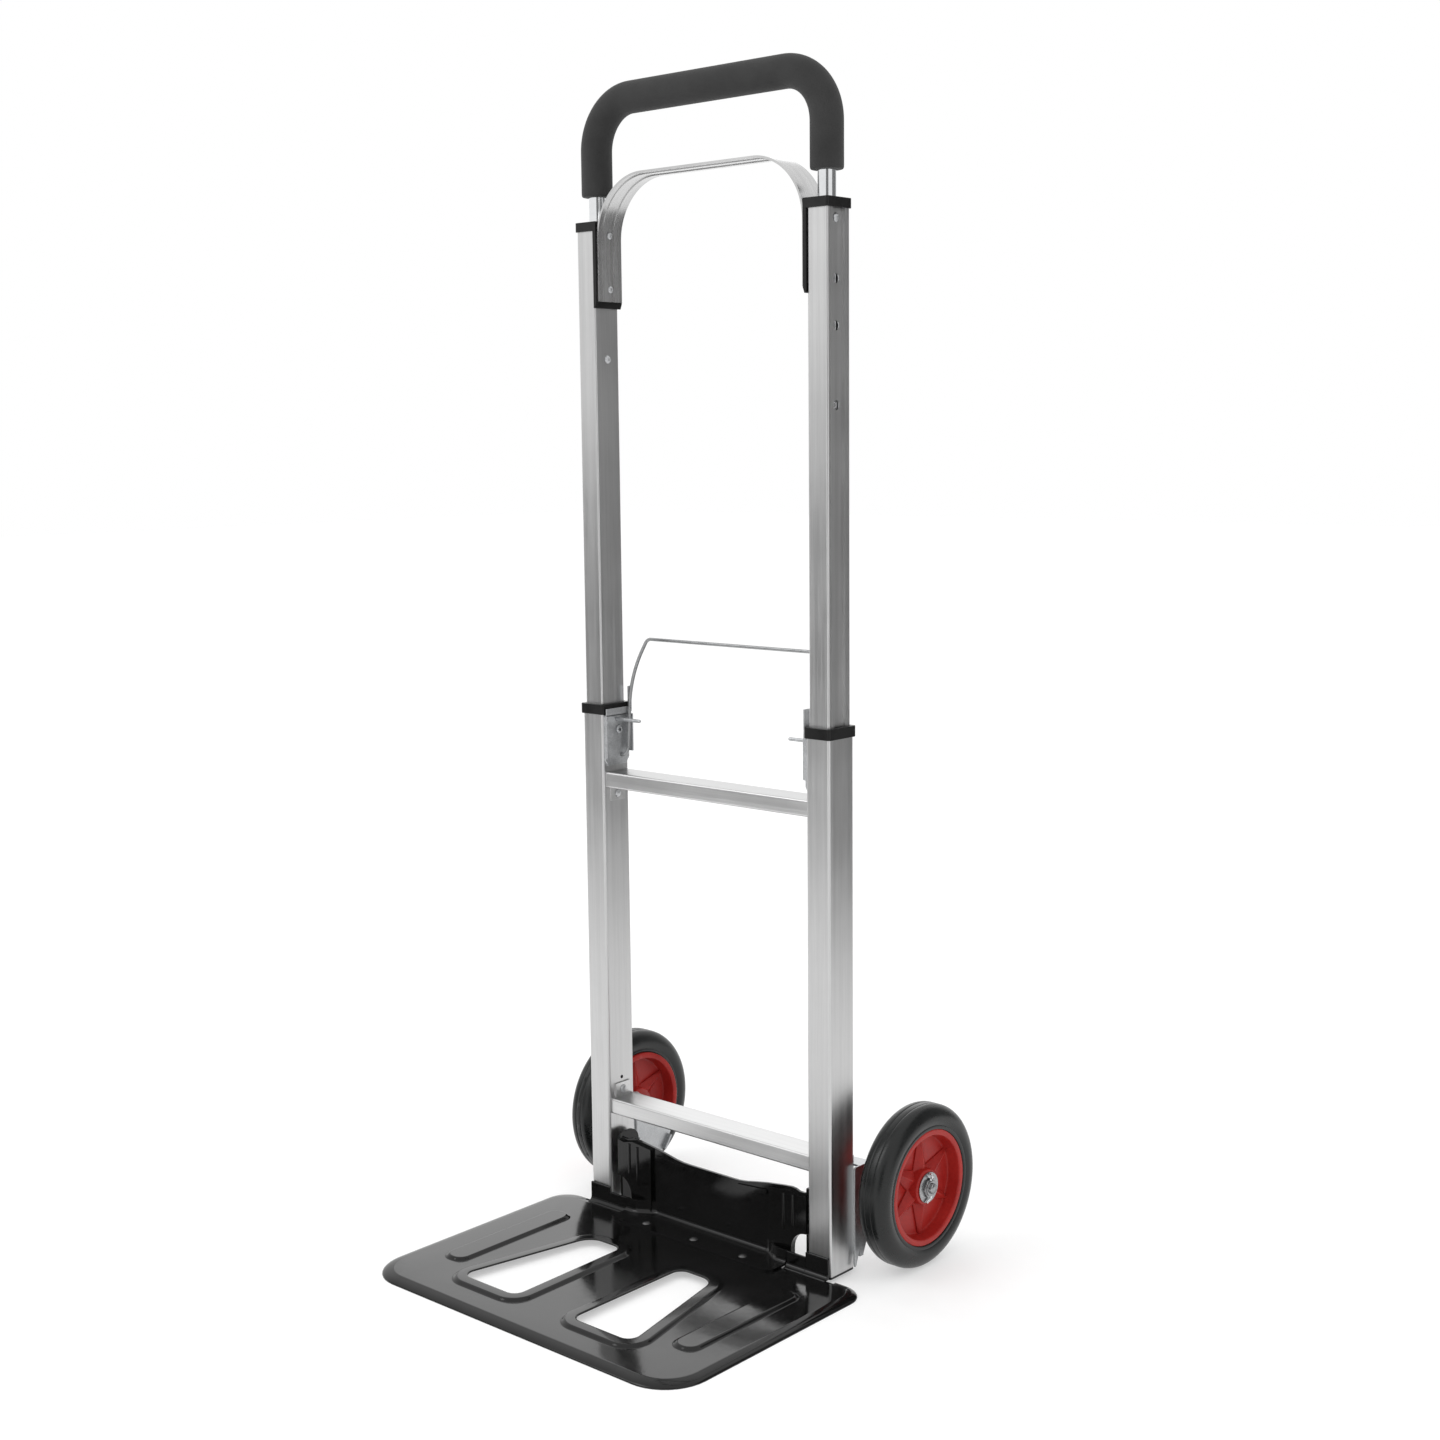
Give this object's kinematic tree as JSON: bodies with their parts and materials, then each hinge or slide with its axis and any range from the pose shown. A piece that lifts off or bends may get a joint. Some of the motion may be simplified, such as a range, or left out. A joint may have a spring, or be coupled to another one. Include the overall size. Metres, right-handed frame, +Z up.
{
  "type": "folding hand truck",
  "caption": "Folding telescoping hand truck with aluminium rails, chrome handle with foam grip, black toe plate and red-rimmed rubber wheels",
  "frame": {"origin": "bottom centre of the whole truck's bounding box, on the ground midway between the wheels", "axes": "+X to the truck's right seen from the toe plate side, +Y to the rear where the wheels are, +Z up along the rails"},
  "size_m": [0.409, 0.4264, 1.0954],
  "materials": {
    "rail_aluminium": "satin drawn aluminium with fine lengthwise grain",
    "strap_aluminium": "satin rolled strip",
    "zinc_steel": "bright zinc plated steel, satin",
    "chrome_bright": "bright chrome plating",
    "black_enamel": "gloss black baked enamel",
    "black_plastic": "moulded black plastic, satin",
    "foam_grip": "soft dark grey foam, matt",
    "tyre_rubber": "solid dark grey rubber, smooth sides",
    "red_rim": "moulded red plastic, semi-gloss"
  },
  "bodies": {
    "lower_frame": {"left_lower_rail": "rail_aluminium", "right_lower_rail": "rail_aluminium", "lower_crossbar": "rail_aluminium", "middle_crossbar": "rail_aluminium", "crossbar_rivets": "zinc_steel", "left_collar": "black_plastic", "right_collar": "black_plastic", "rail_foot_plugs": "black_plastic", "left_bail_bracket": "zinc_steel", "right_bail_bracket": "zinc_steel", "bail_bracket_rivets": "chrome_bright", "left_pivot_lugs": "zinc_steel", "right_pivot_lugs": "zinc_steel", "pivot_lug_rivets": "zinc_steel", "wheel_pivot_pins": "zinc_steel", "wheel_fold_springs": "zinc_steel", "toe_plate_hinge_pins": "zinc_steel"},
    "toe_plate_unit": {"toe_plate": "black_enamel", "hinge_bracket": "black_enamel", "toe_plate_rivets": "black_enamel", "hinge_bushes": "black_plastic"},
    "left_wheel_carrier": {"left_wheel_bracket": "zinc_steel", "left_axle": "zinc_steel", "left_axle_washers": "zinc_steel", "left_axle_nut": "chrome_bright", "left_cotter_pin": "chrome_bright"},
    "right_wheel_carrier": {"right_wheel_bracket": "zinc_steel", "right_axle": "zinc_steel", "right_axle_washers": "zinc_steel", "right_axle_nut": "chrome_bright", "right_cotter_pin": "chrome_bright"},
    "left_wheel": {"left_tyre": "tyre_rubber", "left_wheel_rim": "red_rim", "left_wheel_bush": "zinc_steel"},
    "right_wheel": {"right_tyre": "tyre_rubber", "right_wheel_rim": "red_rim", "right_wheel_bush": "zinc_steel"},
    "middle_stage": {"left_middle_rail": "rail_aluminium", "right_middle_rail": "rail_aluminium", "middle_rail_glides": "black_plastic", "left_cap": "black_plastic", "right_cap": "black_plastic", "cap_screws": "zinc_steel", "brace_strap": "strap_aluminium", "strap_rivets": "zinc_steel", "stop_studs": "zinc_steel"},
    "handle": {"handle_tube": "chrome_bright", "handle_grip": "foam_grip", "handle_tube_plugs": "black_plastic", "button_springs": "zinc_steel"},
    "left_button": {"left_handle_button": "chrome_bright"},
    "right_button": {"right_handle_button": "chrome_bright"},
    "bail": {"release_bail": "zinc_steel"},
    "left_lock": {"left_lock_pin": "zinc_steel"},
    "right_lock": {"right_lock_pin": "zinc_steel"}
  },
  "joints": [
    {"name": "toe_plate_fold", "type": "hinge", "parent": "lower_frame", "child": "toe_plate_unit", "pos_m": [0, 0.06485, 0.05], "axis": [-1, 0, 0], "range_deg": [0, 90]},
    {"name": "left_wheel_fold", "type": "hinge", "parent": "lower_frame", "child": "left_wheel_carrier", "pos_m": [-0.136, 0.09315, 0.0588], "axis": [0, 0, 1], "range_deg": [-90, 0]},
    {"name": "right_wheel_fold", "type": "hinge", "parent": "lower_frame", "child": "right_wheel_carrier", "pos_m": [0.136, 0.09315, 0.0588], "axis": [0, 0, 1], "range_deg": [0, 90]},
    {"name": "left_wheel_spin", "type": "hinge", "parent": "left_wheel_carrier", "child": "left_wheel", "pos_m": [-0.18415, 0.13655, 0.0767], "axis": [1, 0, 0], "continuous": true},
    {"name": "right_wheel_spin", "type": "hinge", "parent": "right_wheel_carrier", "child": "right_wheel", "pos_m": [0.18415, 0.13655, 0.0767], "axis": [1, 0, 0], "continuous": true},
    {"name": "middle_stage_slide", "type": "slide", "parent": "lower_frame", "child": "middle_stage", "axis": [0, 0, 1], "range_m": [-0.326, 0]},
    {"name": "handle_slide", "type": "slide", "parent": "middle_stage", "child": "handle", "axis": [0, 0, 1], "range_m": [0, 0.108]},
    {"name": "left_button_press", "type": "slide", "parent": "handle", "child": "left_button", "axis": [1, 0, 0], "range_m": [0, 0.0025], "stiffness_N_per_m": 800},
    {"name": "right_button_press", "type": "slide", "parent": "handle", "child": "right_button", "axis": [-1, 0, 0], "range_m": [0, 0.0025], "stiffness_N_per_m": 800},
    {"name": "bail_swing", "type": "hinge", "parent": "lower_frame", "child": "bail", "pos_m": [0, 0.07115, 0.46], "axis": [1, 0, 0], "range_deg": [0, 12]},
    {"name": "left_lock_slide", "type": "slide", "parent": "lower_frame", "child": "left_lock", "axis": [1, 0, 0], "range_m": [0, 0.0025]},
    {"name": "right_lock_slide", "type": "slide", "parent": "lower_frame", "child": "right_lock", "axis": [-1, 0, 0], "range_m": [0, 0.0025]}
  ],
  "couplings": [
    {"joint": "left_wheel_fold", "follows": "toe_plate_fold", "ratio": -1},
    {"joint": "right_wheel_fold", "follows": "toe_plate_fold", "ratio": 1},
    {"joint": "left_lock_slide", "follows": "bail_swing", "m_per_rad": 0.01193},
    {"joint": "right_lock_slide", "follows": "bail_swing", "m_per_rad": 0.01193}
  ]
}
